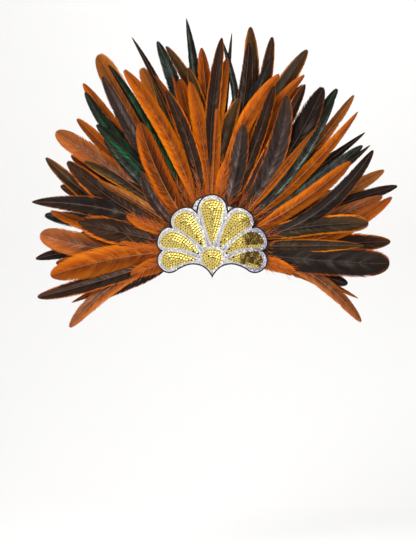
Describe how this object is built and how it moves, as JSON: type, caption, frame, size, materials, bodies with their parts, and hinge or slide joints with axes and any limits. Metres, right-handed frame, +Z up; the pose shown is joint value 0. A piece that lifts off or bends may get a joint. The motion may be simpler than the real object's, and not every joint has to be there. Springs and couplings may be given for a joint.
{
  "type": "feathered headdress",
  "caption": "Fan-shaped headdress of dyed cock feathers in overlapping rows behind a scalloped shell of gold and silver sequins, on an oval head band.",
  "frame": {"origin": "centre of the head band, on the axis of the head, level with the centre of the feather fan", "axes": "+Z up the wearer's head, +Y the way the wearer faces, +X across the fan, to the right seen from the shell's side"},
  "size_m": [0.4764, 0.2669, 0.4022],
  "materials": {
    "band_cloth": "black woven band, matt",
    "black_felt": "stiff black felt, matt",
    "silver_sequins": "small metallised silver sequins and seed beads",
    "gold_sequins": "cup sequins, metallised gold",
    "feathers": "dyed cock feathers, orange, rust, brown and green-black"
  },
  "bodies": {
    "root": {"head_band": "band_cloth", "backing_board": "black_felt", "rear_felt": "black_felt", "rear_silver_beads": "silver_sequins", "shell_felt": "black_felt", "silver_border": "silver_sequins", "gold_top_petal": "gold_sequins", "gold_centre_drop": "gold_sequins", "gold_upper_petal_right": "gold_sequins", "gold_upper_petal_left": "gold_sequins", "gold_middle_petal_right": "gold_sequins", "gold_middle_petal_left": "gold_sequins", "gold_lower_petal_right": "gold_sequins", "gold_lower_petal_left": "gold_sequins", "feathers_left_row_1": "feathers", "feathers_left_row_2": "feathers", "feathers_left_row_3": "feathers", "feathers_left_row_4": "feathers", "feathers_left_row_5": "feathers", "feathers_crown_row_1": "feathers", "feathers_crown_row_2": "feathers", "feathers_crown_row_3": "feathers", "feathers_crown_row_4": "feathers", "feathers_crown_row_5": "feathers", "feathers_right_row_1": "feathers", "feathers_right_row_2": "feathers", "feathers_right_row_3": "feathers", "feathers_right_row_4": "feathers", "feathers_right_row_5": "feathers"}
  },
  "joints": []
}
